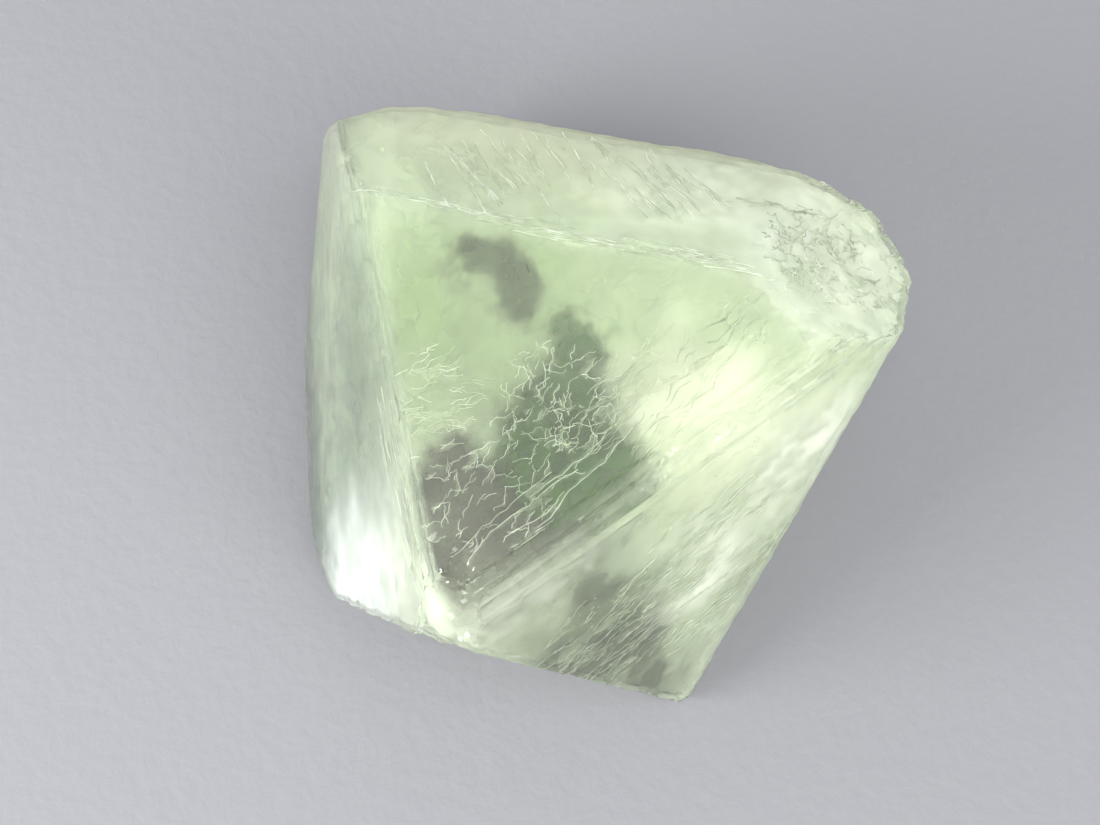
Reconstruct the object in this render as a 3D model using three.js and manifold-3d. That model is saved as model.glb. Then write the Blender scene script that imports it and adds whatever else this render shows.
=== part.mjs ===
// Fluorite octahedron: one cleavage fragment, lying on a cleavage face.
// Millimetres, +Z up, origin on the resting face under the middle of the stone.

import * as THREE from "three";
import { mergeVertices } from "three/addons/utils/BufferGeometryUtils.js";
import Module from "manifold-3d";

const wasm = await Module();
wasm.setup();

// Driving dimensions
const stoneHeight = 31; // between the two parallel cleavage faces, top and base
const cleavageLean = 19.5; // degrees above level that an octahedron's side normals point
const cutterSize = 160; // larger than the stone every way
const weldDistance = 0.0001; // corners closer than this are one
const heart = new THREE.Vector3(0, 0, stoneHeight / 2);

// A face is named by where its normal points: turn is the bearing from the front, to the right,
// lean is degrees above level, and reach is how far from the heart it lies.
const topFace = { turn: 0, lean: 90, reach: stoneHeight / 2 };
const nearFace = { turn: 37, lean: cleavageLean, reach: 17.6 };
const leftFace = { turn: -79, lean: cleavageLean, reach: 16.9 };
const backFace = { turn: 169, lean: cleavageLean, reach: 24.5 };
const underNearFace = { turn: -18, lean: -16.5, reach: 19.2 };
const underRightFace = { turn: 69, lean: -14, reach: 21.2 };
const underBackFace = { turn: 236, lean: -12, reach: 29.6 };
const cleavageFaces = [
  nearFace,
  leftFace,
  backFace,
  underNearFace,
  underRightFace,
  underBackFace,
];

// Breaks that don't follow the cleavage
const bevelFace = { turn: 168, lean: 62, reach: 18.5 };
const sideFace = { turn: -86, lean: 12, reach: 17.8 };
const crushedFace = { turn: 130, lean: 62, reach: 21.4 };
const brokenFaces = [
  bevelFace,
  sideFace,
  crushedFace,
  { turn: 152, lean: 12, reach: 27.2 },
  { turn: 131, lean: 10, reach: 31.2 },
  { turn: 113, lean: 8, reach: 31.1 },
  { turn: 97, lean: 4, reach: 31.5 },
  { turn: 180, lean: 24, reach: 26 },
  { turn: 199, lean: 26, reach: 28.6 },
  { turn: 226, lean: 14, reach: 30.8 },
];

// Corners and edges knocked off short
const bluntedTips = [
  { turn: 30, lean: -30, reach: 27.2 },
  { turn: -14, lean: 38, reach: 25.1 },
  { turn: -52, lean: -20, reach: 22.9 },
  { turn: 102, lean: 42, reach: 29.3 },
  { turn: 52, lean: -42, reach: 27.4 },
  { turn: 208, lean: -40, reach: 32.4 },
  { turn: 150, lean: -35, reach: 31.2 },
];

// Cleavage steps: along the edge of two faces, a strip as deep as inFirst below one of them
// and inSecond below the other is missing.
const cleavageSteps = [
  { first: nearFace, second: topFace, inFirst: 0.5, inSecond: 2.3 },
  { first: nearFace, second: topFace, inFirst: 1.1, inSecond: 1.2 },
  { first: nearFace, second: topFace, inFirst: 1.9, inSecond: 0.5 },
  { first: leftFace, second: topFace, inFirst: 0.6, inSecond: 0.7 },
  { first: backFace, second: bevelFace, inFirst: 0.7, inSecond: 1.1 },
  { first: underRightFace, second: nearFace, inFirst: 0.6, inSecond: 0.5 },
  { first: backFace, second: underBackFace, inFirst: 1.4, inSecond: 2.6 },
  { first: underBackFace, second: sideFace, inFirst: 1.1, inSecond: 0.8 },
];

// Shell-shaped chips: each is a ball that bites into the stone, its centre away from the heart
// by out along turn and lean.
const chips = [
  { turn: -6, lean: 33, out: 28.2, radius: 3.6 },
  { turn: 8, lean: 12, out: 32.5, radius: 9.5 },
  { turn: 30, lean: -27, out: 31, radius: 4.6 },
  { turn: 157, lean: 24, out: 31.2, radius: 3 },
  { turn: 113, lean: 34, out: 36, radius: 9.5 },
  { turn: 78, lean: 20, out: 33.6, radius: 4 },
  { turn: 262, lean: 30, out: 27.6, radius: 6.5 },
  { turn: 242, lean: -8, out: 40, radius: 13 },
  { turn: 196, lean: 2, out: 41.5, radius: 13 },
  { turn: 118, lean: -18, out: 40, radius: 15 },
  { turn: -42, lean: -30, out: 31.5, radius: 7.5 },
];
const chipDetail = 5; // how finely a chip's ball is divided

function directionOf({ turn, lean }) {
  const bearing = THREE.MathUtils.degToRad(turn);
  const rise = THREE.MathUtils.degToRad(lean);
  return new THREE.Vector3(
    Math.sin(bearing) * Math.cos(rise),
    -Math.cos(bearing) * Math.cos(rise),
    Math.sin(rise),
  );
}

function toSolid(geometry) {
  const bare = geometry.clone();
  bare.deleteAttribute("normal");
  bare.deleteAttribute("uv");
  const merged = mergeVertices(bare, weldDistance);
  const vertProperties = new Float32Array(merged.attributes.position.array);
  const triVerts = new Uint32Array(merged.index.array);
  return new wasm.Manifold(new wasm.Mesh({ numProp: 3, vertProperties, triVerts }));
}

function toGeometry(solid) {
  const { vertProperties, triVerts } = solid.getMesh();
  const geometry = new THREE.BufferGeometry();
  geometry.setAttribute("position", new THREE.BufferAttribute(new Float32Array(vertProperties), 3));
  geometry.setIndex(new THREE.BufferAttribute(new Uint32Array(triVerts), 1));
  geometry.computeVertexNormals();
  return geometry;
}

// Everything past a face, moved inward by depth
function beyondFace(face, depth = 0) {
  const normal = directionOf(face);
  const block = new THREE.BoxGeometry(cutterSize, cutterSize, cutterSize);
  block.translate(0, 0, face.reach - depth + cutterSize / 2);
  block.applyQuaternion(
    new THREE.Quaternion().setFromUnitVectors(new THREE.Vector3(0, 0, 1), normal),
  );
  block.translate(heart.x, heart.y, heart.z);
  return toSolid(block);
}

function cleavageStep({ first, second, inFirst, inSecond }) {
  return beyondFace(first, inFirst).intersect(beyondFace(second, inSecond));
}

function chipBall(chip) {
  const ball = new THREE.IcosahedronGeometry(chip.radius, chipDetail);
  const centre = directionOf(chip).multiplyScalar(chip.out).add(heart);
  ball.translate(centre.x, centre.y, centre.z);
  return toSolid(ball);
}

function makeCrystal() {
  const slab = new THREE.BoxGeometry(cutterSize / 2, cutterSize / 2, stoneHeight);
  slab.translate(heart.x, heart.y, heart.z);
  let crystal = toSolid(slab);
  for (const face of [...cleavageFaces, ...brokenFaces, ...bluntedTips]) {
    crystal = crystal.subtract(beyondFace(face));
  }
  for (const step of cleavageSteps) {
    crystal = crystal.subtract(cleavageStep(step));
  }
  for (const chip of chips) {
    crystal = crystal.subtract(chipBall(chip));
  }
  return toGeometry(crystal);
}

const paleGreenGlass = new THREE.MeshStandardMaterial({
  color: 0xc4dba8,
  roughness: 0.18,
  metalness: 0,
  flatShading: true,
});

const crystal = new THREE.Mesh(makeCrystal(), paleGreenGlass);
crystal.name = "fluorite_crystal";
crystal.geometry.computeBoundingBox();
const middle = crystal.geometry.boundingBox.getCenter(new THREE.Vector3());
crystal.geometry.translate(-middle.x, -middle.y, 0);

const fluoriteOctahedron = new THREE.Group();
fluoriteOctahedron.add(crystal);

export default fluoriteOctahedron;
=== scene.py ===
import bpy
import bmesh
import math
import numpy as np
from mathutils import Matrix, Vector, noise
from mathutils.bvhtree import BVHTree
from mathutils.geometry import delaunay_2d_cdt


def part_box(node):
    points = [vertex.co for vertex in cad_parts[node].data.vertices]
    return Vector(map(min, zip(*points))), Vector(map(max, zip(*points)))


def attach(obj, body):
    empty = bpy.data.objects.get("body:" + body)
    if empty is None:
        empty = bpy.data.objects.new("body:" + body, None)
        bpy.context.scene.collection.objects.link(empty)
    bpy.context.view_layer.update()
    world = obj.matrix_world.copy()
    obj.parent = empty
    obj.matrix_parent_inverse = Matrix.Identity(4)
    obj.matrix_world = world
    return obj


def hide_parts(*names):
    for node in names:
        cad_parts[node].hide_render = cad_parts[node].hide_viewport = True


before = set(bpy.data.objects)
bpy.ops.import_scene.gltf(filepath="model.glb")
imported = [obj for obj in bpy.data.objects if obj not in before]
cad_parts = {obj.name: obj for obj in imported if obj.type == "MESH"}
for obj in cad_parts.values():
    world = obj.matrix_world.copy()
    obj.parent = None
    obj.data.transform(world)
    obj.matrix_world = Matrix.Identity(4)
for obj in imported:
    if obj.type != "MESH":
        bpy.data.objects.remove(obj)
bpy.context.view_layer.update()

mm = 0.001
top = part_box("fluorite_crystal")[1].z
scene = bpy.context.scene


# Small helpers

def smoothStep(edge0, edge1, value):
    t = np.clip((value - edge0) / (edge1 - edge0), 0.0, 1.0)
    return t * t * (3.0 - 2.0 * t)


def direction(turn, lean):
    # turn is the bearing from the front, to the right; lean is degrees above level
    bearing, rise = math.radians(turn), math.radians(lean)
    return np.array([math.sin(bearing) * math.cos(rise), -math.cos(bearing) * math.cos(rise), math.sin(rise)])


def noiseAt(waves, seed=0.0, octaves=3, roughness=0.5):
    # fractal noise about -1 to 1, at points given in waves
    shift = np.array([seed, seed * 1.7, -seed * 0.6])
    return np.array([
        noise.fractal(Vector(p), roughness, 2.0, octaves, noise_basis="PERLIN_ORIGINAL")
        for p in waves + shift
    ])


def streaked(points, along, normal, longWave, wideWave):
    # coordinates in waves that are long along one direction of a face and narrow across it
    across = np.cross(normal, along)
    return np.stack([points @ way / wave for way, wave in
                     ((along, longWave), (across, wideWave), (normal, wideWave))], axis=1)


def meshObject(name, verts, faces):
    mesh = bpy.data.meshes.new(name)
    mesh.from_pydata(verts, [], faces)
    mesh.update()
    thing = bpy.data.objects.new(name, mesh)
    scene.collection.objects.link(thing)
    return thing


def smoothed(thing, material):
    # smooth shading, and the one material of a piece
    mesh = thing.data
    mesh.polygons.foreach_set("use_smooth", np.ones(len(mesh.polygons), bool))
    mesh.materials.append(material)
    mesh.update()
    return thing


def paintPoints(mesh, name, values):
    layer = mesh.attributes.new(name, "FLOAT", "POINT")
    layer.data.foreach_set("value", np.clip(values, 0.0, 1.0))


# Shader maths: a wire is one socket, and sums of wires add their own Math nodes

class Wire:
    def __init__(self, tree, socket):
        self.tree = tree
        self.socket = socket

    def math(self, operation, *values):
        return Bench(self.tree).add("ShaderNodeMath", {"operation": operation}, dict(enumerate(values)))

    def __add__(self, other):
        return self.math("ADD", self, other)

    def __radd__(self, other):
        return self.math("ADD", other, self)

    def __rsub__(self, other):
        return self.math("SUBTRACT", other, self)

    def __mul__(self, other):
        return self.math("MULTIPLY", self, other)

    def __rtruediv__(self, other):
        return self.math("DIVIDE", other, self)

    def clamped(self):
        return self.math("MINIMUM", self.math("MAXIMUM", self, 0.0), 1.0)


def plug(tree, slot, value):
    if isinstance(value, Wire):
        tree.links.new(value.socket, slot)
    else:
        slot.default_value = value


class Bench:
    # nodes are added to one tree: their kind, their settings, then the values or wires of their sockets
    def __init__(self, tree):
        self.tree = tree

    def add(self, kind, settings=None, inputs=None, out=0):
        node = self.tree.nodes.new(kind)
        for key, value in (settings or {}).items():
            setattr(node, key, value)
        for key, value in (inputs or {}).items():
            plug(self.tree, node.inputs[key], value)
        return Wire(self.tree, node.outputs[out])


class Finish(Bench):
    # one material
    def __init__(self, name):
        self.material = bpy.data.materials.new(name)
        self.material.use_nodes = True
        super().__init__(self.material.node_tree)
        self.tree.nodes.clear()

    def attribute(self, name):
        return self.add("ShaderNodeAttribute", {"attribute_name": name}, out="Fac")

    def grain(self, scale, detail, roughness):
        place = self.add("ShaderNodeTexCoord", out="Object")
        return self.add("ShaderNodeTexNoise", inputs={
            "Vector": place, "Scale": scale, "Detail": detail, "Roughness": roughness}, out="Fac")

    def rangeOf(self, value, low, high):
        return self.add("ShaderNodeMapRange", {"interpolation_type": "SMOOTHSTEP"}, {
            "Value": value, "From Min": low, "From Max": high})

    def blend(self, factor, first, second):
        return self.add("ShaderNodeMix", {"data_type": "RGBA"}, {0: factor, 6: first, 7: second}, out=2)

    def bump(self, height, strength, distance):
        return self.add("ShaderNodeBump", inputs={
            "Height": height, "Strength": strength, "Distance": distance})

    def matt(self, colour, alpha, roughness=0.9, shine=0.0):
        # the finished material of a thin matt piece
        return self.finishWith(self.add("ShaderNodeBsdfPrincipled", inputs={
            "Base Color": colour, "Roughness": roughness, "Specular IOR Level": shine, "Alpha": alpha}))

    def finishWith(self, surface, volume=None):
        output = self.tree.nodes.new("ShaderNodeOutputMaterial")
        plug(self.tree, output.inputs["Surface"], surface)
        if volume:
            plug(self.tree, output.inputs["Volume"], volume)
        return self.material


# The crystal's faces: where each one's normal points, how finely its skin is divided, and how frosted it is

faces = {
    "topFace": {"turn": 0, "lean": 90, "pitch": 0.24 * mm, "frost": 0.16},
    "nearFace": {"turn": 37, "lean": 19.5, "pitch": 0.27 * mm, "frost": 0.30},
    "leftFace": {"turn": -79, "lean": 19.5, "pitch": 0.33 * mm, "frost": 0.50},
    "bevelFace": {"turn": 168, "lean": 62, "pitch": 0.30 * mm, "frost": 0.40},
    "crushedFace": {"turn": 130, "lean": 62, "pitch": 0.26 * mm, "frost": 0.48},
    "sideFace": {"turn": -86, "lean": 12, "pitch": 0.40 * mm, "frost": 0.50},
    "backFace": {"turn": 169, "lean": 19.5, "pitch": 0.45 * mm, "frost": 0.50},
    "underNear": {"turn": -18, "lean": -16.5, "pitch": 0.50 * mm, "frost": 0.50},
    "underRight": {"turn": 69, "lean": -14, "pitch": 0.50 * mm, "frost": 0.50},
    "underBack": {"turn": 236, "lean": -12, "pitch": 0.50 * mm, "frost": 0.50},
    "base": {"turn": 0, "lean": -90, "pitch": 0.80 * mm, "frost": 0.90},
}
aims = {name: direction(face["turn"], face["lean"]) for name, face in faces.items()}
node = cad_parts["fluorite_crystal"]
cadPoints = np.array([v.co for v in node.data.vertices])
reaches = {name: (cadPoints @ aim).max() for name, aim in aims.items()}
heart = np.array([-3.3, -4.8, 15.5]) * mm


def insideOutline(spots, outline):
    # True for each 2-D spot inside a closed outline
    inside = np.zeros(len(spots), bool)
    for a, b in zip(outline, np.roll(outline, -1, axis=0)):
        crosses = (a[1] > spots[:, 1]) != (b[1] > spots[:, 1])
        with np.errstate(divide="ignore", invalid="ignore"):
            at = (b[0] - a[0]) * (spots[:, 1] - a[1]) / (b[1] - a[1]) + a[0]
        inside ^= crosses & (spots[:, 0] < at)
    return inside


def clearOfOutline(spots, outline, gap):
    # True for each 2-D spot further than gap from every side of the outline
    clear = np.ones(len(spots), bool)
    for a, b in zip(outline, np.roll(outline, -1, axis=0)):
        along = b - a
        share = np.clip(((spots - a) @ along) / max(along @ along, 1e-12), 0, 1)
        clear &= np.hypot(*(spots - a - share[:, None] * along).T) > gap
    return clear


def evenSkin(mesh, rimStep, pitchOf):
    # every flat face is filled with even triangles that share their points along its edges
    plain = bmesh.new()
    plain.from_mesh(mesh)
    bmesh.ops.remove_doubles(plain, verts=plain.verts, dist=0.01 * mm)
    bmesh.ops.dissolve_limit(plain, angle_limit=math.radians(1), verts=plain.verts, edges=plain.edges)
    plain.verts.index_update()
    plain.edges.index_update()
    points = [np.array(v.co) for v in plain.verts]
    along = {}
    for edge in plain.edges:
        a, b = edge.verts
        parts = max(1, round(edge.calc_length() / rimStep))
        fresh = range(len(points), len(points) + parts - 1)
        points += [np.array(a.co.lerp(b.co, (i + 1) / parts)) for i in range(parts - 1)]
        along[edge.index] = (a.index, [a.index, *fresh, b.index])
    triangles = []
    for face in plain.faces:
        rim = []
        for loop in face.loops:
            start, chain = along[loop.edge.index]
            rim += chain[:-1] if loop.vert.index == start else chain[:0:-1]
        normal = np.array(face.normal)
        origin = np.array(face.verts[0].co)
        across = np.array(face.loops[0].edge.verts[1].co - face.loops[0].edge.verts[0].co)
        across /= np.linalg.norm(across)
        basis = np.stack([across, np.cross(normal, across)], axis=1)
        flat = np.array([(points[i] - origin) @ basis for i in rim]) / mm
        corners = np.array([(np.array(v.co) - origin) @ basis for v in face.verts]) / mm
        pitch = pitchOf(normal) / mm
        lowSide, highSide = flat.min(0), flat.max(0)
        rows = np.arange(lowSide[1], highSide[1], pitch * 0.866)
        grid = [(x + (row % 2) * pitch / 2, y) for row, y in enumerate(rows)
                for x in np.arange(lowSide[0], highSide[0], pitch)]
        spots = np.array(grid).reshape(-1, 2)
        spots = spots[insideOutline(spots, corners)]
        spots = spots[clearOfOutline(spots, corners, pitch * 0.5)]
        sides = [(i, (i + 1) % len(rim)) for i in range(len(rim))]
        spread = [Vector(p) for p in (*flat, *spots)]
        placed, _, filled, origins, _, _ = delaunay_2d_cdt(spread, sides, [], 1, 1e-6)
        name = []
        for place, first in zip(placed, origins):
            if first and first[0] < len(rim):
                name.append(rim[first[0]])
            else:
                name.append(len(points))
                points.append(origin + basis @ np.array(place) * mm)
        triangles += [tuple(name[i] for i in corner) for corner in filled]
    plain.free()
    return np.array(points), triangles


# What has happened to each face since the crystal split

crystalShape = {
    "rimStep": 0.32 * mm,
    "otherPitch": 0.34 * mm,
    "sharpAngle": 34,
    "faceBlend": 0.45 * mm,      # how far a face's own finish runs into the next one
    "edgeWear": 0.10 * mm,
    "edgeReach": 0.8 * mm,
    "paleEdge": 1.2 * mm,
    "terraceRise": 0.10 * mm,
    "terraceLevels": 5,
    "terraceBearing": 41,        # degrees, the way the shelves run
    "terraceMiddle": (-1.0, -12.0, 31.0),
    "terraceReach": (26 * mm, 12 * mm),
    "topSwell": 0.03 * mm,
    "nearRelief": 0.16 * mm,
    "bevelRelief": 0.09 * mm,
    "leftRelief": 0.12 * mm,
    "crushDepth": 0.34 * mm,
    "crushMiddle": (19.5, 4.5, 26.0),
    "crushHalf": 11 * mm,
    "crushCells": (1.25 * mm, 3.1 * mm),
    "tipDepth": 0.5 * mm,        # the shattered front tip
    "tipMiddle": (-11.5, -24.5, 28.0),
    "tipReach": (6.5 * mm, 2.5 * mm),
    "tipHalf": 8 * mm,
    "tipCell": 1.5 * mm,
    "hiddenRelief": 0.16 * mm,
    "baseRelief": 0.06 * mm,
    # flat breaks that shave the stepped edges: turn, lean, a point on the break (mm), roughness of the break
    "shaves": (
        (32, 50, (-3.0, -23.6, 29.2), 0.10 * mm),      # the smooth shell-like facet under the front edge
        (37, 54, (4.0, -15.2, 30.2), 0.55 * mm),
        (-79, 54, (-15.6, -14.0, 30.2), 0.40 * mm),
    ),
}


def faceShares(points):
    # how much each named face owns each point, by its gap to that face's plane
    names = list(faces)
    gaps = np.array([np.abs(reaches[name] - points @ aims[name]) for name in names])
    nearest = gaps.min(0)
    shares = np.exp(-((gaps - nearest) / crystalShape["faceBlend"]) ** 2)
    return dict(zip(names, shares / shares.sum(0))), np.sort(gaps, axis=0)[1]


def inPlane(vector, normal):
    flat = vector - (vector @ normal) * normal
    return flat / np.linalg.norm(flat)


def levelWay(bearing):
    # a level direction, turned from the right towards the back
    return np.array([math.cos(math.radians(bearing)), math.sin(math.radians(bearing)), 0.0])


def crossing(first, second):
    # the direction of the edge where two named faces meet
    along = np.cross(aims[first], aims[second])
    return along / np.linalg.norm(along)


def terraced(height, levels):
    # soft waves cut into flat shelves
    steps = height * levels
    whole = np.floor(steps)
    return (whole + smoothStep(0.35, 0.65, steps - whole)) / levels


def brokenFacets(points, middle, half, cell, seed):
    # shards like crushed glass in a box about a middle: each is a flat bit at its own depth and tilt, 0 to 1
    draw = np.random.default_rng(seed)
    count = int((2 * half / cell) ** 3 * 0.7)
    middles = np.array(middle) * mm + (draw.random((count, 3)) * 2 - 1) * half
    depths = draw.random(count)
    tilts = draw.normal(size=(count, 3))
    deep = np.empty(len(points))
    for start in range(0, len(points), 2000):
        part = points[start:start + 2000]
        away = np.linalg.norm(part[:, None] - middles[None], axis=2)
        own = away.argmin(1)
        slope = np.einsum("ij,ij->i", part - middles[own], tilts[own]) / cell
        deep[start:start + 2000] = depths[own] * 0.6 + slope * 0.35
    return np.clip(deep, -0.2, 1.2)


def shavedEdges(points):
    # points that stand past a break are pressed back onto it
    for number, (turn, lean, through, rough) in enumerate(crystalShape["shaves"]):
        aim = direction(turn, lean)
        ragged = noiseAt(points / (2.2 * mm), 110.0 + 5 * number, 4, 0.65) * rough
        past = points @ aim - np.array(through) * mm @ aim - ragged
        points = points - np.maximum(past, 0.0)[:, None] * aim
    return points


def wornSurface(points, shares, toEdge):
    # how far the skin goes inward, face by face
    shape = crystalShape
    inward = np.zeros(len(points))

    onTop = shares["topFace"]
    grain = levelWay(shape["terraceBearing"])
    sway = noiseAt(points / (5 * mm), 3.0, 2)
    wobble = noiseAt(points / (1.1 * mm), 5.0, 2)
    coords = streaked(points, grain, aims["topFace"], 11 * mm, 2.6 * mm)
    coords[:, 1] += 0.55 * sway + 0.16 * wobble
    shelves = terraced(0.5 + 0.5 * noiseAt(coords, 8.0, 2), shape["terraceLevels"])
    away = np.linalg.norm(points - np.array(shape["terraceMiddle"]) * mm, axis=1)
    middle = smoothStep(*shape["terraceReach"], away)
    inward += onTop * shape["terraceRise"] * shape["terraceLevels"] * shelves * (0.25 + 0.75 * middle) * 0.6
    inward += onTop * shape["topSwell"] * noiseAt(points / (9 * mm), 2.0, 2)

    onNear = shares["nearFace"]
    slant = crossing("nearFace", "underRight")
    coords = streaked(points, slant, aims["nearFace"], 9 * mm, 1.1 * mm)
    coords[:, 1] += 0.5 * sway + 0.2 * wobble
    furrows = noiseAt(coords, 12.0, 3)
    lowDown = smoothStep(26 * mm, 8 * mm, points[:, 2])
    flakes = terraced(0.5 + 0.5 * noiseAt(coords * np.array([1.0, 0.45, 0.45]), 17.0, 2), 4)
    inward += onNear * shape["nearRelief"] * (0.35 + 0.9 * lowDown) * (0.5 + 0.5 * furrows + 0.9 * flakes)

    onBevel = shares["bevelFace"]
    rake = inPlane(np.array([0.38, -1.0, 0.0]), aims["bevelFace"])
    coords = streaked(points, rake, aims["bevelFace"], 10 * mm, 1.3 * mm)
    coords[:, 1] += 0.3 * sway
    inward += onBevel * shape["bevelRelief"] * (0.5 + 0.5 * noiseAt(coords, 21.0, 3))
    inward += onBevel * shape["bevelRelief"] * 1.6 * (0.5 + 0.5 * noiseAt(points / (8 * mm), 23.0, 2))

    onLeft = shares["leftFace"] + shares["sideFace"]
    downward = crossing("leftFace", "topFace")
    coords = streaked(points, downward, aims["leftFace"], 12 * mm, 2.2 * mm)
    coords[:, 1] += 0.5 * sway
    inward += onLeft * shape["leftRelief"] * (0.5 + 0.5 * noiseAt(points / (4.5 * mm), 31.0, 3))
    nearTop = smoothStep(16 * mm, 30 * mm, points[:, 2])
    inward += onLeft * shape["leftRelief"] * 1.5 * nearTop * terraced(0.5 + 0.5 * noiseAt(coords, 33.0, 2), 4)

    crushed = shares["crushedFace"]
    chosen = crushed > 0.02
    fine, coarse = (brokenFacets(points[chosen], shape["crushMiddle"], shape["crushHalf"], cell, seed)
                    for seed, cell in enumerate(shape["crushCells"], 5))
    inward[chosen] += crushed[chosen] * shape["crushDepth"] * (
        fine + 0.9 * coarse + 0.25 * noiseAt(points[chosen] / (0.8 * mm), 27.0))

    away = (points - np.array(shape["tipMiddle"]) * mm) * np.array([1.0, 1.0, 0.7])
    shattered = smoothStep(*shape["tipReach"], np.linalg.norm(away, axis=1))
    chosen = shattered > 0.02
    inward[chosen] += shattered[chosen] * shape["tipDepth"] * brokenFacets(
        points[chosen], (-11.5, -24.5, 26.0), shape["tipHalf"], shape["tipCell"], 9)

    hidden = shares["backFace"] + shares["underNear"] + shares["underRight"] + shares["underBack"]
    coords = streaked(points, np.array([0.0, 0.0, 1.0]), np.array([0.0, -1.0, 0.0]), 12 * mm, 1.5 * mm)
    coords[:, 1] += 0.4 * sway
    inward += hidden * shape["hiddenRelief"] * (0.5 + 0.5 * noiseAt(coords, 41.0, 3))
    inward += hidden * shape["hiddenRelief"] * 1.4 * (0.5 + 0.5 * noiseAt(points / (7 * mm), 45.0, 2))
    inward += shares["base"] * shape["baseRelief"] * (0.5 + 0.5 * noiseAt(points / (6 * mm), 43.0, 3))

    wear = np.clip(1.0 - toEdge / shape["edgeReach"], 0.0, 1.0) ** 2
    chips = smoothStep(-0.1, 0.5, noiseAt(points / (2.4 * mm), 4.0))
    inward += shape["edgeWear"] * wear * (0.4 + 2.6 * chips) * (1 - shares["base"])
    return np.maximum(inward, 0.0)


def makeCrystal():
    def pitchOf(normal):
        best = max(faces, key=lambda name: normal @ aims[name])
        return faces[best]["pitch"] if normal @ aims[best] > 0.985 else crystalShape["otherPitch"]

    points, triangles = evenSkin(node.data, crystalShape["rimStep"], pitchOf)
    crystal = meshObject("crystal", points, triangles)
    mesh = crystal.data
    normals = np.array([v.normal for v in mesh.vertices])
    shares, toEdge = faceShares(points)
    inward = wornSurface(points, shares, toEdge)
    points = shavedEdges(points - normals * inward[:, None])
    mesh.vertices.foreach_set("co", points.ravel())

    frost = sum(shares[name] * face["frost"] for name, face in faces.items())
    edge = np.clip(1.0 - toEdge / crystalShape["paleEdge"], 0.0, 1.0)
    paintPoints(mesh, "frost", frost + 0.06 * edge)
    paintPoints(mesh, "edge", edge)
    smoothed(crystal, fluoriteGlass())
    mesh.set_sharp_from_angle(angle=math.radians(crystalShape["sharpAngle"]))
    mesh.update()
    print("crystal:", len(points), "points", len(triangles), "triangles")
    return crystal


glassLook = {
    "ior": 1.434,
    "transmission": 0.95,
    "clearRoughness": 0.06,
    "frostRoughness": 0.40,
    "tint": (0.96, 0.99, 0.86, 1.0),
    "paleTint": (0.98, 0.99, 0.95, 1.0),
    "absorbColour": (0.50, 0.90, 0.25, 1.0),
    "absorbDensity": 3.0,
}


def fluoriteGlass():
    look = Finish("fluorite_glass")
    frost = look.attribute("frost")
    edge = look.attribute("edge")
    ripple = look.grain(300.0, 2.0, 0.65)
    span = glassLook["frostRoughness"] - glassLook["clearRoughness"]
    roughness = glassLook["clearRoughness"] + frost * (0.85 + ripple * 0.3) * span
    height = ripple * frost
    pale = (frost * 0.6 + edge * 0.5).clamped()
    surface = look.add("ShaderNodeBsdfPrincipled", inputs={
        "Base Color": look.blend(pale, glassLook["tint"], glassLook["paleTint"]),
        "Roughness": roughness,
        "IOR": glassLook["ior"],
        "Transmission Weight": glassLook["transmission"],
        "Normal": look.bump(height, 0.35, 0.3 * mm)})
    volume = look.add("ShaderNodeVolumeAbsorption", inputs={
        "Color": glassLook["absorbColour"], "Density": glassLook["absorbDensity"]})
    return look.finishWith(surface, volume)


crystal = makeCrystal()


# Everything sealed inside shares one idea of where the crystal's walls are

def skinOf(thing):
    solid = bmesh.new()
    solid.from_mesh(thing.data)
    tree = BVHTree.FromBMesh(solid)
    solid.free()
    return tree


skin = skinOf(crystal)


def wallGap(points):
    # how far each point is inside the crystal's skin, in metres; negative outside
    gaps = np.min([reaches[name] - points @ aims[name] for name in faces], axis=0)
    for i in np.flatnonzero(gaps > 0.2 * mm):
        place, normal, _, away = skin.find_nearest(Vector(points[i]))
        gaps[i] = min(gaps[i], -away if (Vector(points[i]) - place).dot(normal) > 0 else away)
    return gaps


def underSkin(points, normal, depth):
    # points laid at one depth under the nearest bit of skin
    laid = np.array([skin.find_nearest(Vector(point))[0] for point in points])
    return laid - normal * depth


def spotAt(points, middle, reach):
    # 1 at a middle, falling softly to 0 at its reach, both in millimetres
    away = (points / mm - np.array(middle)) / np.array(reach)
    return smoothStep(1.0, 0.0, np.linalg.norm(away, axis=1))


def spotSum(points, spots):
    return sum(spotAt(points, middle, reach) * strength for middle, reach, strength in spots)


sheetRoom = {
    "halfWidth": 34 * mm,       # of a whole sheet, before its sides are cut off
    "planeGap": 0.9 * mm,
    "wallGap": 0.6 * mm,
}


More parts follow.
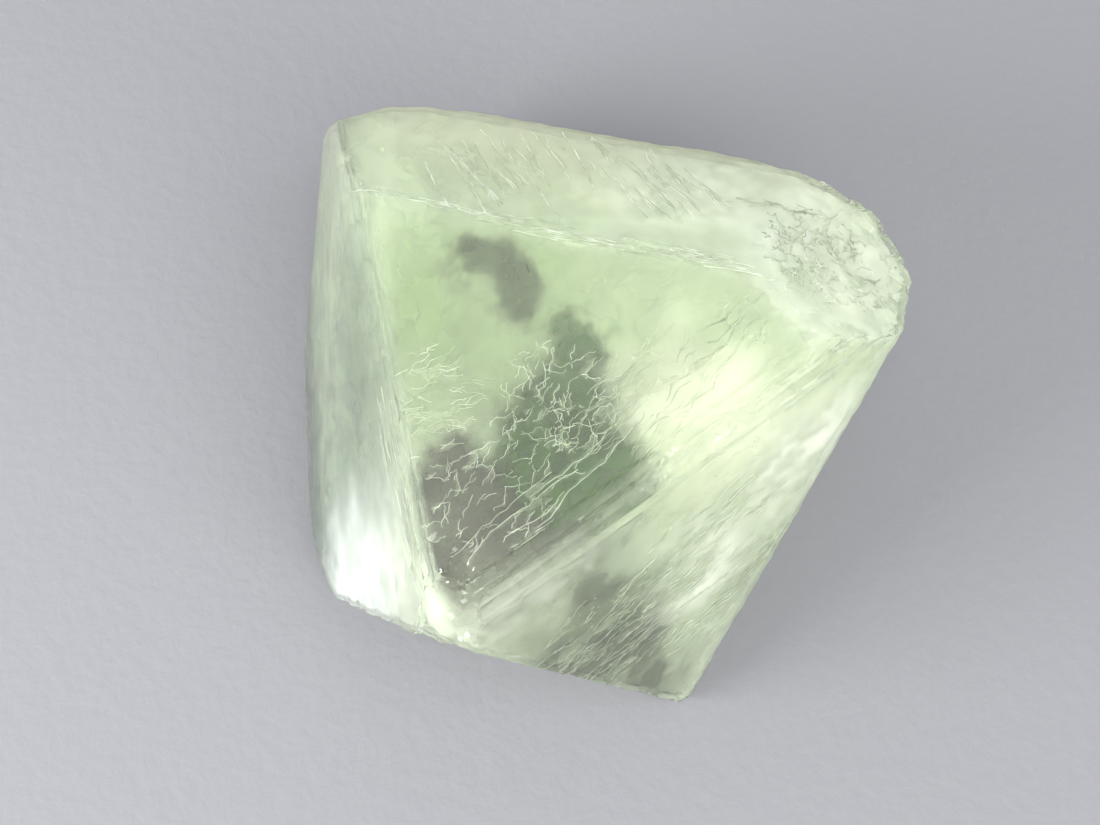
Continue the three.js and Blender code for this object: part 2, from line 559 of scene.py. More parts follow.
def sheetsAcross(name, depths, pitch, wave, swell, seed):
    # wavy sheets parallel to one face, cut off just inside the walls
    normal = aims[name]
    side = inPlane(np.array([1.0, 0.3, 0.0]), normal)
    up = np.cross(normal, side)
    half = int(sheetRoom["halfWidth"] / pitch)
    verts, quads = [], []
    for depth in depths:
        rows = np.arange(-half, half + 1) * pitch
        u, v = np.meshgrid(rows, rows, indexing="ij")
        flat = heart - (heart @ normal) * normal + (reaches[name] - depth * mm) * normal
        points = flat + u.reshape(-1, 1) * side + v.reshape(-1, 1) * up
        near = np.min([reaches[face] - points @ aims[face] for face in faces], axis=0) > sheetRoom["planeGap"]
        wavy = np.zeros(len(points))
        wavy[near] = noiseAt(points[near] / wave, seed + depth, 2)
        points = points + normal * (wavy * swell)[:, None]
        kept = near
        kept[near] = wallGap(points[near]) > sheetRoom["wallGap"]
        order = np.full(len(points), -1)
        order[kept] = np.arange(kept.sum()) + len(verts)
        verts += list(points[kept])
        order = order.reshape(2 * half + 1, 2 * half + 1)
        corners = np.stack([order[:-1, :-1], order[1:, :-1], order[1:, 1:], order[:-1, 1:]], axis=-1)
        corners = corners.reshape(-1, 4)
        quads += [tuple(int(i) for i in corner) for corner in corners if corner.min() >= 0]
    return verts, quads


# Milky veils on the crystal's own cleavage directions, with painted glow and painted shade laid into their colour

veilShape = {
    "pitch": 0.8 * mm,
    "wave": 9 * mm,
    "swell": 0.9 * mm,
    "fadeFrom": (0.8 * mm, 4.5 * mm),       # gaps to the walls where a veil begins and is full
    "wisp": 6.5 * mm,
    "families": {
        "topFace": (3.0, 8.5, 16.0, 25.0),
        "nearFace": (6.5,),
        "leftFace": (6.0,),
        "backFace": (6.5,),
    },
}

# zones of the crystal's body: soft spots in millimetres, each a middle, a reach and a strength. The glow zone is
# painted light, a bright patch drawn where light scatters inside; the shade zone is painted shade
zones = {
    "painted_glow": (((9.0, -8.5, 25.0), (13.5, 8.0, 13.0), 1.5), ((13.0, -18.0, 15.0), (8.0, 8.0, 11.0), 1.3)),
    "green": (((-10.0, 0.5, 24.0), (12.0, 13.0, 13.0), 1.6), ((-1.0, 1.0, 25.0), (16.0, 11.0, 10.0), 0.7)),
    "rear": (((3.0, 20.0, 20.0), (30.0, 12.0, 22.0), 1.2),),
    "shade": (((-3.0, -9.0, 25.0), (6.5, 8.0, 9.0), 1.3), ((-4.5, -16.0, 23.0), (9.0, 6.5, 9.0), 1.5)),
    "brown": (((-8.5, -20.5, 20.0), (9.0, 6.5, 12.0), 1.4), ((1.0, -25.0, 12.0), (9.0, 6.0, 10.0), 1.0)),
}

veilLook = {
    "body": (0.80, 0.90, 0.66, 1.0),
    "painted_glow": (0.99, 1.0, 0.85, 1.0),
    "rear": (0.86, 0.90, 0.76, 1.0),
    "green": (0.46, 0.60, 0.30, 1.0),
    "shade": (0.22, 0.29, 0.17, 1.0),
    "brown": (0.26, 0.26, 0.22, 1.0),
    "thin": 0.22,
    "thick": 0.55,
    "paintedGlowFade": 0.78,
}


def stirred3(points, wave, reach, seed):
    # a noisy shift of every point, to break up a soft edge
    return np.stack([noiseAt(points / wave, seed + 4 * i, 3) for i in range(3)], axis=1) * reach


def paintZones(mesh, points):
    # each zone is one attribute, its edges broken up by noise
    stir = stirred3(points, 8 * mm, 3.2 * mm, 70.0)
    masks = {}
    for name, spots in zones.items():
        masks[name] = np.clip(spotSum(points + stir, spots), 0.0, 1.0)
        paintPoints(mesh, name, masks[name])
    return masks


def zoneColour(look, colours, names):
    # the body's colour, with each zone's own laid over it in turn
    colour = colours["body"]
    for name in names:
        colour = look.blend(look.attribute(name), colour, colours[name])
    return colour


def veilMaterial():
    look = Finish("milky_veil")
    # the glow and shade zones are painted light and painted shade in the veils' colour
    colour = zoneColour(look, veilLook, ("green", "rear", "painted_glow", "shade", "brown"))
    return look.matt(colour, look.attribute("fade"))


def makeVeils():
    verts, quads = [], []
    for seed, (name, depths) in enumerate(veilShape["families"].items()):
        points, corners = sheetsAcross(name, depths, veilShape["pitch"], veilShape["wave"],
                                       veilShape["swell"], 60.0 + 3 * seed)
        quads += [tuple(i + len(verts) for i in corner) for corner in corners]
        verts += points
    points = np.array(verts)
    veils = meshObject("milky_veils", verts, quads)
    masks = paintZones(veils.data, points)
    wisps = smoothStep(-0.45, 0.45, noiseAt(points / veilShape["wisp"], 75.0, 4, 0.6))
    fade = veilLook["thin"] + wisps * (veilLook["thick"] - veilLook["thin"])
    inside = smoothStep(*veilShape["fadeFrom"], wallGap(points))
    fade *= inside
    # the shade zone makes the veils denser, as painted shade; the glow zone below makes them denser and whiter, as
    # painted glow
    fade *= 0.8 + 0.4 * masks["shade"]
    paintPoints(veils.data, "fade", fade + (veilLook["paintedGlowFade"] * inside - fade) * masks["painted_glow"])
    print("veils:", len(verts), "points", len(quads), "quads")
    return smoothed(veils, veilMaterial())


veils = makeVeils()


# Painted shade: thin dark sheets one above another, laid where the inside looks dark

paintedShadeShape = {
    "pitch": 0.4 * mm,
    "wave": 4 * mm,
    "swell": 0.3 * mm,
    "stir": 2.2 * mm,
    "wisp": 1.7 * mm,
    "fadeFrom": (0.55 * mm, 1.0 * mm),
    "patches": {
        "small": {"depths": (1.2, 2.4), "strength": 0.76, "edge": 0.70, "brown": 0.5, "spots": (
            ((-9.0, 4.0, 29.0), (2.6, 2.4, 9.0), 1.8), ((-7.6, 2.6, 29.0), (3.0, 2.8, 9.0), 2.2),
            ((-5.9, 0.2, 29.0), (2.6, 3.2, 9.0), 2.0))},
        "middle": {"depths": (1.4, 3.2), "strength": 0.98, "edge": 0.85, "brown": 0.1, "spots": (
            ((-1.6, -5.6, 28.0), (3.4, 5.0, 12.0), 2.4), ((-2.8, -10.4, 28.0), (5.4, 5.0, 12.0), 2.0),
            ((-3.0, -15.0, 28.0), (8.0, 5.2, 12.0), 2.4), ((-1.6, -17.6, 28.0), (6.8, 4.0, 12.0), 2.6),
            ((1.4, -14.6, 28.0), (3.8, 4.6, 12.0), 1.6))},
        "low": {"depths": (1.2, 2.8), "strength": 0.96, "edge": 0.85, "brown": 0.9, "spots": (
            ((-10.2, -16.8, 28.0), (4.8, 6.4, 12.0), 2.2), ((-7.6, -20.8, 28.0), (7.8, 4.8, 12.0), 3.2))},
    },
}

# colours of the painted shade sheets, tinted green or brown
paintedShadeLook = {
    "green": (0.05, 0.11, 0.022, 1.0),
    "brown": (0.075, 0.07, 0.055, 1.0),
}


# the sheets' dark colour and opacity are painted shade
def paintedShadeMaterial():
    look = Finish("inner_smoke")
    colour = look.blend(look.attribute("brown"), paintedShadeLook["green"], paintedShadeLook["brown"])
    return look.matt(colour, look.attribute("painted_shade"))


def makePaintedShade():
    verts, quads, painted_shade, brown = [], [], [], []
    for number, patch in enumerate(paintedShadeShape["patches"].values()):
        points, corners = sheetsAcross("topFace", patch["depths"], paintedShadeShape["pitch"], paintedShadeShape["wave"],
                                       paintedShadeShape["swell"], 80.0 + 5 * number)
        points = np.array(points)
        stir = np.stack([noiseAt(points / (3 * mm), 90.0 + 4 * i, 4, 0.7) for i in range(3)], axis=1)
        stirred = points + stir * patch["edge"] * paintedShadeShape["stir"]
        mask = np.clip(spotSum(stirred, patch["spots"]), 0.0, 1.0)
        mask *= smoothStep(*paintedShadeShape["fadeFrom"], wallGap(points))
        held = [corner for corner in corners if mask[list(corner)].max() > 0.01]
        used = sorted({i for corner in held for i in corner})
        order = {i: len(verts) + n for n, i in enumerate(used)}
        quads += [tuple(order[i] for i in corner) for corner in held]
        verts += list(points[used])
        wisps = noiseAt(points[used] / paintedShadeShape["wisp"], 96.0 + number, 4, 0.7)
        wisps = 0.62 + 0.55 * smoothStep(-0.4, 0.4, wisps)
        painted_shade += list(mask[used] * patch["strength"] * wisps)
        brown += [patch["brown"]] * len(used)
    sheets = meshObject("painted_shade_patches", verts, quads)
    paintPoints(sheets.data, "painted_shade", np.array(painted_shade))
    paintPoints(sheets.data, "brown", np.array(brown))
    print("smoke:", len(verts), "points")
    return smoothed(sheets, paintedShadeMaterial())


painted_shade = makePaintedShade()


# Crinkled fracture lines, many short threads laid along a face's own grain

threads = {
    "parts": 20,                # points along one thread
    "sides": 3,
    "rimPoints": 24,            # of the disc that a zone's threads grow on
    "skinGap": 0.06 * mm,       # threads nearer to the skin than this are dropped,
    "furthest": 1.2 * mm,       # and so are those that lie further than this from their face
    "zones": {
        # face, depth under the skin and middle in plan (mm), extent along and across (mm), bearing of the grain and
        # spread (degrees), threads in the zone, lengths (mm), width, crinkle and its wave (mm), finish
        "longMiddle": ("topFace", 0.5, (-5.0, -17.6), (16, 4.0), 43, 6, 8, (6, 14), 0.06, 1.0, 3.0, "bright"),
        "shadeCentre": ("topFace", 0.6, (-2.6, -8.5), (8.5, 9.5), 60, 80, 84, (0.5, 2.2), 0.04, 1.0, 1.1, "bright"),
        "shadeWide": ("topFace", 0.6, (-6.6, -15.4), (14, 9), 50, 50, 66, (0.5, 2.0), 0.038, 0.8, 1.1, "bright"),
        "glowSide": ("topFace", 0.5, (4.0, -8.5), (12, 7.0), 47, 18, 60, (1.0, 5.0), 0.055, 0.8, 1.5, "dark"),
        "lowCorner": ("topFace", 0.7, (-10.0, -15.6), (9, 9), 40, 45, 30, (0.5, 2.0), 0.038, 0.8, 1.1, "bright"),
        "leftWaves": ("topFace", 0.5, (-12.0, -8.5), (8, 7.5), 10, 30, 40, (0.8, 3.0), 0.042, 0.9, 1.5, "bright"),
        "nearEdge": ("topFace", 0.3, (9.0, -11.4), (17, 2.6), 38, 7, 30, (2.4, 9.0), 0.09, 0.6, 2.0, "dark"),
        "nearEdgeBright": ("topFace", 0.3, (9.0, -12.6), (18, 3.2), 38, 7, 44, (2.4, 9.0), 0.09, 0.6, 2.0, "bright"),
        "lowEdge": ("topFace", 0.4, (-7.0, -22.0), (9, 2.6), 30, 16, 9, (2.0, 7.0), 0.07, 0.8, 2.0, "bright"),
        "rightRays": ("topFace", 0.5, (11.0, -3.0), (7, 5.0), 46, 14, 14, (1.2, 4.6), 0.08, 0.8, 1.8, "dark"),
        "bevelRays": ("bevelFace", 0.2, (-5.0, 12.5), (8, 17), -68, 9, 34, (2.0, 8.5), 0.12, 0.7, 3.0, "bright"),
        "bevelRight": ("bevelFace", 0.2, (6.0, 11.0), (7, 8), -66, 10, 22, (1.6, 6.5), 0.12, 0.7, 3.0, "bright"),
        "bevelDark": ("bevelFace", 0.2, (13.5, 9.6), (9, 1.0), -4, 16, 26, (0.4, 1.4), 0.10, 0.5, 1.0, "dark"),
        "nearRays": ("nearFace", 0.3, (9.5, -18.0), (17, 17), 66, 12, 90, (1.2, 5.2), 0.09, 0.8, 2.0, "bright"),
        "nearLow": ("nearFace", 0.3, (1.0, -24.0), (10, 12), 70, 18, 40, (1.0, 4.4), 0.08, 0.9, 1.8, "bright"),
        "nearLowDark": ("nearFace", 0.2, (2.0, -24.5), (10, 12), 68, 14, 44, (1.0, 3.8), 0.12, 0.9, 1.8, "dark"),
        "shellEdge": ("topFace", 0.25, (-4.6, -22.6), (13, 1.8), 36, 8, 26, (2.0, 7.0), 0.12, 0.5, 2.0, "dark"),
        "tip": ("nearFace", 0.15, (-10.2, -25.0), (6, 5), 50, 80, 50, (0.5, 2.4), 0.08, 0.9, 1.0, "bright"),
        "tipDark": ("nearFace", 0.15, (-9.6, -25.0), (6, 5), 50, 80, 36, (0.4, 1.8), 0.09, 0.9, 1.0, "dark"),
        "backRidge": ("topFace", 0.12, (-1.4, 4.9), (36, 1.7), -12, 3, 34, (3.0, 11.0), 0.07, 0.25, 4.0, "bright"),
        "backRidgeDark": ("topFace", 0.12, (-1.4, 5.0), (36, 1.7), -12, 3, 12, (2.0, 8.0), 0.07, 0.25, 4.0, "dark"),
        "leftEdge": ("leftFace", 0.2, (-14.8, -15.5), (16, 4.5), -73, 8, 28, (1.6, 7.0), 0.09, 0.5, 2.4, "bright"),
        "leftEdgeDark": ("leftFace", 0.2, (-13.8, -18.5), (13, 2.5), -73, 8, 16, (1.6, 6.0), 0.10, 0.5, 2.4, "dark"),
        "crushed": ("crushedFace", 0.2, (19.5, 4.0), (11, 11), 60, 80, 90, (0.7, 2.6), 0.08, 1.0, 1.4, "bright"),
        "crushedSpecks": ("crushedFace", 0.15, (17.8, 5.6), (10, 8), 0, 90, 70, (0.12, 0.4), 0.17, 0.3, 1.0, "dark"),
        "nearSpecks": ("nearFace", 0.15, (0.5, -24.0), (9, 10), 0, 90, 40, (0.1, 0.35), 0.15, 0.3, 1.0, "dark"),
        "crushedDark": ("crushedFace", 0.2, (17.5, 5.0), (9, 8), 60, 80, 30, (0.3, 1.1), 0.10, 0.9, 1.2, "dark"),
    },
}


class Growth(Bench):
    # one Geometry Nodes tree
    def __init__(self, name):
        super().__init__(bpy.data.node_groups.new(name, "GeometryNodeTree"))

    def takes(self, name, kind):
        self.tree.interface.new_socket(name, in_out="INPUT", socket_type="NodeSocket" + kind)

    def given(self, name):
        return self.add("NodeGroupInput", out=name)

    def finish(self, geometry):
        self.tree.interface.new_socket("Geometry", in_out="OUTPUT", socket_type="NodeSocketGeometry")
        plug(self.tree, self.tree.nodes.new("NodeGroupOutput").inputs[0], geometry)
        return self.tree


def threadTree():
    work = Growth("crinkled_threads")
    work.takes("Geometry", "Geometry")
    for name in ("Density", "Shortest", "Longest", "Width", "Crinkle", "Wave", "Spread"):
        work.takes(name, "Float")
    work.takes("Seed", "Int")
    work.takes("Finish", "Material")
    starts = work.add("GeometryNodeDistributePointsOnFaces", {"distribute_method": "RANDOM"}, {
        "Mesh": work.given("Geometry"), "Density": work.given("Density"), "Seed": work.given("Seed")})
    line = work.add("GeometryNodeCurvePrimitiveLine", inputs={"Start": (-0.5, 0, 0), "End": (0.5, 0, 0)})
    line = work.add("GeometryNodeResampleCurve", inputs={"Curve": line, "Count": threads["parts"]})
    spread = work.given("Spread")
    turned = work.add("ShaderNodeCombineXYZ", inputs={"Z": work.add(
        "FunctionNodeRandomValue", {"data_type": "FLOAT"}, {2: spread * -1.0, 3: spread, "Seed": 3}, out=1)})
    length = work.add("FunctionNodeRandomValue", {"data_type": "FLOAT"}, {
        2: work.given("Shortest"), 3: work.given("Longest"), "Seed": 7}, out=1)
    laid = work.add("GeometryNodeInstanceOnPoints", inputs={
        "Points": starts, "Instance": line, "Rotation": turned,
        "Scale": work.add("ShaderNodeCombineXYZ", inputs={"X": length, "Y": 1.0, "Z": 1.0})})
    laid = work.add("GeometryNodeRealizeInstances", inputs={"Geometry": laid})
    place = work.add("GeometryNodeInputPosition")
    crease = work.add("ShaderNodeTexNoise", {"noise_dimensions": "4D"}, {
        "Vector": place, "W": work.given("Seed") * 3.7, "Scale": 1.0 / work.given("Wave"),
        "Detail": 3.0, "Roughness": 0.6}, out="Color")
    centred = work.add("ShaderNodeVectorMath", {"operation": "SUBTRACT"}, {0: crease, 1: (0.5, 0.5, 0.5)})
    moved = work.add("ShaderNodeVectorMath", {"operation": "SCALE"}, {
        0: centred, "Scale": work.given("Crinkle") * 2.0})
    laid = work.add("GeometryNodeSetPosition", inputs={"Geometry": laid, "Offset": moved})
    along = work.add("GeometryNodeSplineParameter", out="Factor")
    taper = along * (1.0 - along) * 4.0 + 0.12
    laid = work.add("GeometryNodeSetCurveRadius", inputs={"Curve": laid, "Radius": taper})
    section = work.add("GeometryNodeCurvePrimitiveCircle", {"mode": "RADIUS"}, {
        "Resolution": threads["sides"], "Radius": work.given("Width") * 0.5})
    cords = work.add("GeometryNodeCurveToMesh", inputs={
        "Curve": laid, "Profile Curve": section, "Fill Caps": True})
    cords = work.add("GeometryNodeRealizeInstances", inputs={"Geometry": cords})
    cords = work.add("GeometryNodeSetMaterial", inputs={"Geometry": cords, "Material": work.given("Finish")})
    return work.finish(cords)


def grownMesh(name, tree, guideVerts, guideFaces, values):
    # runs a tree on a guide and gives the plain mesh that it grows
    guide = meshObject(name, guideVerts, guideFaces)
    grow = guide.modifiers.new(name, "NODES")
    grow.node_group = tree
    sockets = {item.name: item.identifier for item in tree.interface.items_tree if item.in_out == "INPUT"}
    for key, value in values.items():
        grow[sockets[key]] = value
    graph = bpy.context.evaluated_depsgraph_get()
    mesh = bpy.data.meshes.new_from_object(guide.evaluated_get(graph))
    guide.modifiers.clear()
    bpy.data.objects.remove(guide)
    return mesh


def zoneFrame(face, middle, bearing):
    # the middle of a zone on a face, and its directions along, across and outward
    normal = aims[face]
    flat = np.array([*middle, 0.0]) * mm
    rise = (reaches[face] - flat @ normal) / normal[2]
    along = inPlane(levelWay(bearing), normal)
    return flat + np.array([0, 0, rise]), along, np.cross(normal, along), normal


def fractureMaterial(name, colour, deep):
    look = Finish(name)
    cloud = look.rangeOf(look.grain(600.0, 2.0, 0.6), 0.35, 0.65)
    return look.matt(look.blend(cloud, colour, deep), 1.0, 0.6, 0.2)


crackShape = {
    "height": (0.25, 0.9),      # mm, from the bright line down into the crystal
    "slant": 1.1,
    "strength": 0.34,
    "footStrength": 0.05,
    "skinGap": 0.08 * mm,
    "faces": ("topFace", "nearFace", "crushedFace", "bevelFace", "leftFace"),
}


def crackMaterial():
    look = Finish("crack_plane")
    colour = look.blend(look.attribute("fade"), (0.62, 0.72, 0.50, 1), (0.95, 1.0, 0.88, 1))
    return look.matt(colour, look.attribute("fade"), 0.7, 0.1)


def crackUnder(rings, across, normal, number):
    # a slanting crack plane hanging from each thread of a zone, wider in its middle
    count, parts, _ = rings.shape
    along = np.linspace(0.0, math.pi, parts)
    draw = np.random.default_rng(200 + number)
    picks = draw.random(count)
    height = (crackShape["height"][0] + picks * (crackShape["height"][1] - crackShape["height"][0])) * mm
    side = np.where(draw.random(count) > 0.5, 1.0, -1.0)
    fall = -normal[None, :] + across[None, :] * (side * crackShape["slant"] * picks)[:, None]
    ragged = noiseAt(rings.reshape(-1, 3) / (0.5 * mm), 120.0 + number, 2).reshape(count, parts)
    rough = 0.55 + 0.9 * smoothStep(-0.5, 0.5, ragged)
    drop = fall[:, None, :] * (height[:, None] * np.sin(along)[None, :] * rough)[:, :, None]
    return np.stack([rings, rings + drop], axis=2).reshape(-1, 3)


def hangCracks(points):
    # the ribbons of all crack planes as one mesh, fading downwards
    parts = threads["parts"]
    outside = np.flatnonzero(wallGap(points[1::2]) < crackShape["skinGap"])
    points[2 * outside + 1] = points[2 * outside] * 0.85 + points[2 * outside + 1] * 0.15
    starts = np.arange(len(points) // 2).reshape(-1, parts)[:, :-1].ravel() * 2
    quads = [(int(i), int(i) + 1, int(i) + 3, int(i) + 2) for i in starts]
    cracks = meshObject("crack_planes", list(points), quads)
    fade = np.zeros(len(points))
    fade[0::2] = crackShape["strength"]
    fade[1::2] = crackShape["footStrength"]
    paintPoints(cracks.data, "fade", fade)
    print("crack planes:", len(quads), "quads")
    return smoothed(cracks, crackMaterial())


def makeThreads():
    tree = threadTree()
    # white threads are cracks drawn white as painted reflection, besides the own whiteness of the crushed corner;
    # dark threads are painted shade along cracks, besides the real dark specks and pits
    finishes = {
        "bright": fractureMaterial("bright_fracture", (0.97, 1.0, 0.92, 1), (0.46, 0.53, 0.38, 1)),
        "dark": fractureMaterial("dark_fracture", (0.26, 0.33, 0.21, 1), (0.60, 0.68, 0.50, 1)),
    }
    found = {"bright": ([], []), "dark": ([], [])}
    hung = []
    ringSize = threads["parts"] * threads["sides"]
    for seed, (name, zone) in enumerate(threads["zones"].items()):
        face, depth, middle, extent, bearing, spread, count, lengths, width, crinkle, wave, finish = zone
        turns = np.linspace(0, 2 * math.pi, threads["rimPoints"], endpoint=False)
        rim = [(math.cos(t) * extent[0] / 2 * mm, math.sin(t) * extent[1] / 2 * mm, 0) for t in turns]
        area = math.pi * extent[0] * extent[1] / 4 * mm * mm
        mesh = grownMesh(name, tree, rim, [tuple(range(len(rim)))], {
            "Density": count / area, "Shortest": lengths[0] * mm, "Longest": lengths[1] * mm,
            "Width": width * mm, "Crinkle": crinkle * mm, "Wave": wave * mm,
            "Spread": math.radians(spread), "Seed": seed + 1, "Finish": finishes[finish]})
        local = np.array([v.co for v in mesh.vertices]).reshape(-1, 3)
        origin, along, across, normal = zoneFrame(face, middle, bearing)
        flat = origin + local[:, :1] * along + local[:, 1:2] * across
        middles = flat.reshape(-1, threads["sides"], 3).mean(axis=1).repeat(threads["sides"], axis=0)
        drop = underSkin(middles, normal, depth * mm) - middles
        points = flat + drop + local[:, 2:] * normal * 0.3
        safe = (wallGap(points) > threads["skinGap"]) & (np.linalg.norm(drop, axis=1) < threads["furthest"])
        safe = safe.reshape(-1, ringSize).all(axis=1).repeat(ringSize)
        verts, polygons = found[finish]
        order = np.cumsum(safe) - 1 + len(verts)
        polygons += [tuple(int(order[i]) for i in p.vertices) for p in mesh.polygons if safe[p.vertices[0]]]
        verts += list(points[safe])
        bpy.data.meshes.remove(mesh)
        if finish == "bright" and face in crackShape["faces"] and safe.any():
            rings = points[safe].reshape(-1, threads["parts"], threads["sides"], 3).mean(axis=2)
            hung.append(crackUnder(rings, across, normal, seed))
    pieces = [hangCracks(np.concatenate(hung))]
    for finish, (verts, polygons) in found.items():
        piece = meshObject(finish + "_fractures", verts, polygons)
        piece.data.materials.append(finishes[finish])
        for polygon in piece.data.polygons:
            polygon.use_smooth = len(polygon.vertices) == 4
        print(finish, "fractures:", len(verts) // ringSize, "threads")
        pieces.append(piece)
    return pieces


fractures = makeThreads()


# The haze of tiny cracks just under the frosted faces; its colour also carries painted shade on the left side and
# painted glow on the near face's right

hazeShape = {
    "step": 0.8 * mm,
    "depth": 0.75 * mm,
    "thickness": {
        # the left face's thick haze is partly its frost and partly carries the painted shade laid on the left side
        "topFace": 0.06, "nearFace": 0.26, "leftFace": 0.62, "bevelFace": 0.36, "crushedFace": 0.60,
        "sideFace": 0.20, "backFace": 0.50, "underNear": 0.30, "underRight": 0.50, "underBack": 0.50, "base": 0.50,
    },
    "rim": 0.10,                # extra along every edge
    "rimReach": 0.9 * mm,
    "skinGap": 0.15 * mm,       # points nearer to the skin than this
    "skinStep": 0.6 * mm,       # are moved this far inside it
    # thicker or thinner haze: middle and reach in millimetres, change
    "patches": (
        ((-6.8, -25.0, 28.0), (3.4, 2.4, 4.0), 0.45),      # smooth shell-like break under the front edge
        ((-3.4, -23.0, 28.0), (3.4, 2.4, 4.0), 0.45),
        ((0.0, -20.8, 28.5), (3.4, 2.2, 3.5), 0.35),
        ((-11.0, -25.5, 26.5), (3.6, 3.4, 5.0), 0.18),     # shattered front tip
        # the next two, and the one at (8, 9.5), thicken the haze under its painted glow
        ((10.0, -20.5, 18.0), (6.5, 8.5, 11.0), 0.60),
        ((17.0, -9.5, 22.0), (8.5, 11.0, 12.0), 0.60),
        ((-17.5, -20.0, 12.0), (11.0, 14.0, 20.0), 0.20),
        ((3.4, -23.0, 17.0), (7.5, 4.5, 10.0), 0.95),
        ((-1.5, -26.0, 16.0), (7.0, 4.0, 9.0), 0.60),
        ((5.6, -24.6, 8.0), (4.5, 3.5, 9.0), 0.70),
        ((1.6, -21.6, 23.5), (7.0, 4.0, 8.0), 0.34),
        ((-4.0, -14.0, 31.0), (9.0, 11.0, 4.0), -0.08),
        ((8.0, 9.5, 28.0), (15.0, 7.0, 6.0), 0.40),
        ((-14.8, -20.0, 25.0), (3.0, 8.0, 8.0), 0.06),
    ),
}

hazeLook = {
    "body": (0.86, 0.93, 0.78, 1.0),
    "rear": (0.88, 0.86, 0.72, 1.0),
    # the next colour is painted shade, darkening the left side that faces the low lamp
    "painted_left_shade": (0.15, 0.20, 0.16, 1.0),
    "pale": (0.92, 0.96, 1.0, 1.0),
    "shell": (0.60, 0.62, 0.56, 1.0),
    "white": (0.98, 1.0, 0.94, 1.0),
    "grey": (0.11, 0.125, 0.09, 1.0),
}

hazeZones = {
    "rear": (((0.0, 20.0, 24.0), (40.0, 15.0, 40.0), 1.6),),
    "painted_left_shade": (((-30.0, -4.0, 16.0), (26.0, 40.0, 40.0), 2.0),),
    # painted shade over the left side, which faces the low lamp
    "pale": (((-17.5, -20.0, 12.0), (11.0, 14.0, 20.0), 1.6),),
    "shell": (((-6.8, -25.0, 28.0), (3.4, 2.4, 4.0), 1.6), ((-3.4, -23.0, 28.0), (3.4, 2.4, 4.0), 1.6),
              ((0.0, -20.8, 28.5), (3.4, 2.2, 3.5), 1.4)),
    # white is partly the own whiteness of the frosted tip, crushed corner and edges, and partly painted glow on the
    # near face's right and the right side
    "white": (((-11.0, -25.5, 26.5), (3.2, 3.0, 4.4), 0.8),
              ((10.5, -20.5, 18.0), (7.5, 9.0, 12.0), 1.6),
              ((17.0, -9.5, 22.0), (8.5, 11.0, 12.0), 1.6), ((19.0, 4.0, 28.0), (9.0, 9.0, 7.0), 1.6),
              ((9.0, 12.0, 26.0), (11.0, 7.0, 8.0), 1.2), ((-14.6, -20.0, 25.0), (2.8, 8.0, 8.0), 0.4)),
    "grey": (((3.0, -23.0, 17.0), (8.0, 5.0, 10.0), 2.2), ((1.6, -21.6, 23.5), (7.5, 4.2, 9.0), 1.3),
             ((-1.5, -26.0, 16.0), (7.5, 4.5, 10.0), 2.0), ((5.4, -25.0, 8.0), (6.0, 4.0, 9.0), 2.0),
             ((-11.5, 11.5, 28.5), (5.0, 3.0, 5.0), 0.30),
             ((12.0, 9.0, 29.5), (3.6, 1.8, 4.0), 0.6), ((18.0, 6.5, 28.0), (2.4, 2.2, 4.0), 0.5),
             ((-18.6, -4.0, 25.0), (3.6, 10.0, 8.0), 0.5)),
}


def hazeMaterial():
    look = Finish("frost_haze")
    colour = zoneColour(look, hazeLook, ("rear", "painted_left_shade", "pale", "grey", "shell", "white"))
    return look.matt(colour, look.attribute("haze"))


def makeHaze():
    # the crystal's own form again, a little way in
    points, triangles = evenSkin(node.data, hazeShape["step"], lambda normal: hazeShape["step"])
    haze = meshObject("frost_haze", points, triangles)
    normals = np.array([v.normal for v in haze.data.vertices])
    shares, toEdge = faceShares(points)
    inward = wornSurface(points, shares, toEdge) + hazeShape["depth"]
    laid = shavedEdges(points - normals * inward[:, None])
    laid = np.where((wallGap(laid) > 0.3 * mm)[:, None], laid, laid - normals * 0.5 * mm)
    for i in np.flatnonzero(wallGap(laid) < hazeShape["skinGap"]):
        inward = heart - laid[i]
        inward *= hazeShape["skinStep"] / np.linalg.norm(inward)
        laid[i] = np.array(skin.find_nearest(Vector(laid[i]))[0]) + inward
    haze.data.vertices.foreach_set("co", laid.ravel())
    stirred = points + stirred3(points, 4 * mm, 1.4 * mm, 100.0)
    thickness = sum(shares[name] * value for name, value in hazeShape["thickness"].items())
    thickness += spotSum(stirred, hazeShape["patches"])
    thickness += hazeShape["rim"] * np.clip(1.0 - toEdge / hazeShape["rimReach"], 0.0, 1.0)
    cloudy = 0.78 + 0.34 * smoothStep(-0.45, 0.45, noiseAt(points / (3.5 * mm), 105.0, 4, 0.65))
    # on the near face the clouds run along the grain
    _, along, _, normal = zoneFrame("nearFace", (3.0, -23.0), 68)
    grain = noiseAt(streaked(points, along, normal, 9 * mm, 2.4 * mm), 108.0, 3, 0.6)
    cloudy += (0.52 + 0.70 * smoothStep(-0.4, 0.4, grain) - cloudy) * shares["nearFace"]
    paintPoints(haze.data, "haze", thickness * cloudy)
    for name, spots in hazeZones.items():
        paintPoints(haze.data, name, spotSum(stirred, spots))
    print("haze:", len(points), "points")
    return smoothed(haze, hazeMaterial())


haze = makeHaze()


# Floor, light and camera

stageLook = {
    "floorSize": 1.6,
    "floorGap": 0.15 * mm,
    "floorColour": (0.185, 0.185, 0.197, 1.0),
}


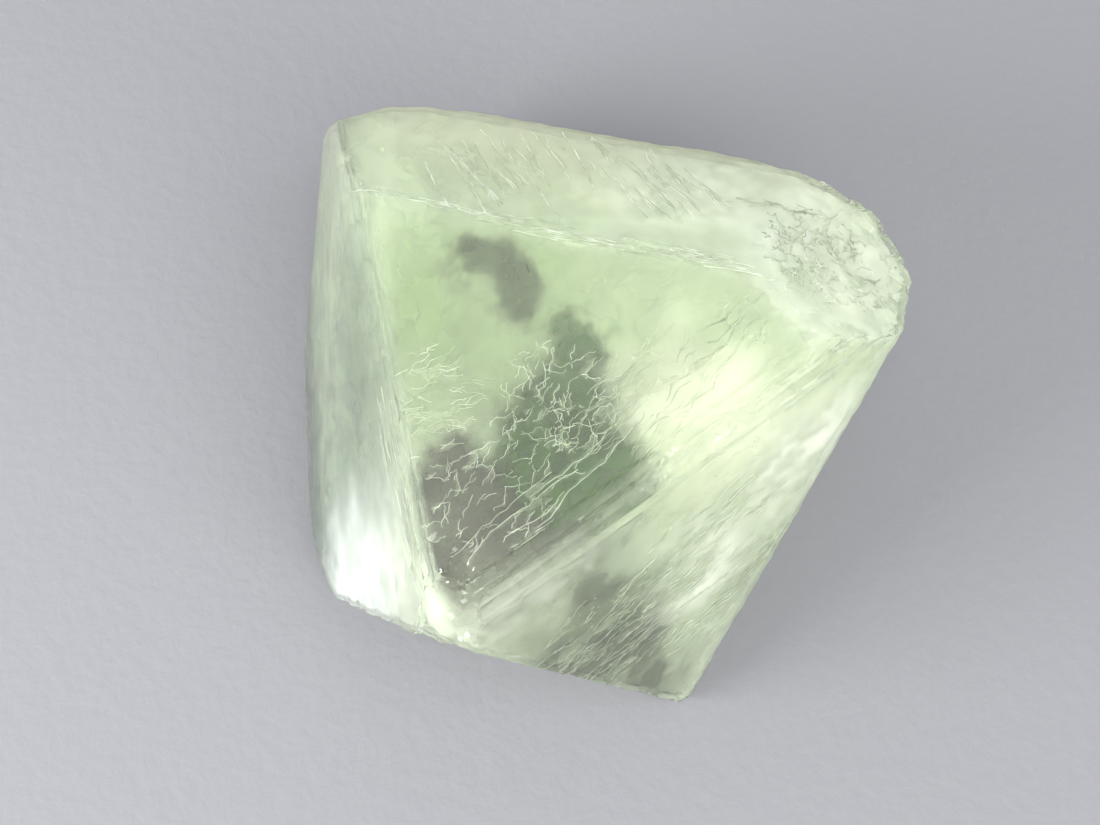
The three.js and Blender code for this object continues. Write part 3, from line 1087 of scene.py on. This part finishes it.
def makeFloor():
    half = stageLook["floorSize"] / 2
    level = -stageLook["floorGap"]
    corners = [(-half, -half, level), (half, -half, level), (half, half, level), (-half, half, level)]
    floor = meshObject("floor", corners, [(0, 1, 2, 3)])
    paper = Finish("pale_paper")
    grain = paper.grain(700.0, 5.0, 0.6)
    surface = paper.add("ShaderNodeBsdfPrincipled", inputs={
        "Base Color": stageLook["floorColour"], "Roughness": 0.85,
        "Normal": paper.bump(grain, 0.25, 0.4 * mm)})
    floor.data.materials.append(paper.finishWith(surface))


def softLight(name, turn, lean, distance, size, power, colour=(1.0, 1.0, 1.0)):
    lamp = bpy.data.lights.new(name, "AREA")
    lamp.shape = "DISK"
    lamp.size = size
    lamp.energy = power
    lamp.color = colour
    thing = bpy.data.objects.new(name, lamp)
    aim = Vector(direction(turn, lean))
    thing.location = aim * distance + Vector((0, 0, top / 2))
    thing.rotation_mode = "QUATERNION"
    thing.rotation_quaternion = aim.to_track_quat("Z", "Y")
    scene.collection.objects.link(thing)


roomLight = {"level": 1.10, "slope": 0.18}


def makeLight():
    world = bpy.data.worlds.new("soft_room")
    world.use_nodes = True
    room = world.node_tree
    shine = room.nodes["Background"]
    shine.inputs["Color"].default_value = (0.95, 0.97, 1.0, 1.0)
    facing = room.nodes.new("ShaderNodeVectorMath")
    facing.operation = "DOT_PRODUCT"
    facing.inputs[1].default_value = direction(-70, 15)
    room.links.new(room.nodes.new("ShaderNodeTexCoord").outputs["Generated"], facing.inputs[0])
    rise = Wire(room, facing.outputs["Value"])
    plug(room, shine.inputs["Strength"], rise * roomLight["slope"] + roomLight["level"])
    scene.world = world
    softLight("low_left", -66, 20, 0.34, 0.20, 2.0)
    softLight("right_front", 38, 30, 0.42, 0.25, 0.8, (1.0, 1.0, 0.97))
    softLight("overhead", 30, 62, 0.6, 0.5, 3.3)


viewFrom = {
    "lens": 70,
    "elevation": 68.5,
    "distance": 0.1742,
    "aim": (-0.0033, -0.0048, 0.0175),
}


def makeCamera():
    lens = bpy.data.cameras.new("camera")
    lens.lens = viewFrom["lens"]
    lens.sensor_width = 36
    lens.clip_start = 0.005
    camera = bpy.data.objects.new("camera", lens)
    back = Vector(direction(0, viewFrom["elevation"]))
    camera.location = Vector(viewFrom["aim"]) + back * viewFrom["distance"]
    camera.rotation_mode = "QUATERNION"
    camera.rotation_quaternion = back.to_track_quat("Z", "Y")
    scene.collection.objects.link(camera)
    scene.camera = camera


makeFloor()
makeLight()
makeCamera()
scene.cycles.max_bounces = 12
scene.cycles.diffuse_bounces = 4
scene.cycles.transmission_bounces = 10
scene.cycles.transparent_max_bounces = 64
scene.cycles.use_denoising = True
scene.view_settings.view_transform = "Standard"
print("stage: floor, light and camera")

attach(crystal, "root")
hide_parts("fluorite_crystal")
slots = [(veils, "inner_smoke"), (painted_shade, "inner_smoke"), (haze, "inner_fractures")]
slots += [(piece, "inner_fractures") for piece in fractures]
for piece, slot in slots:
    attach(piece, "root")
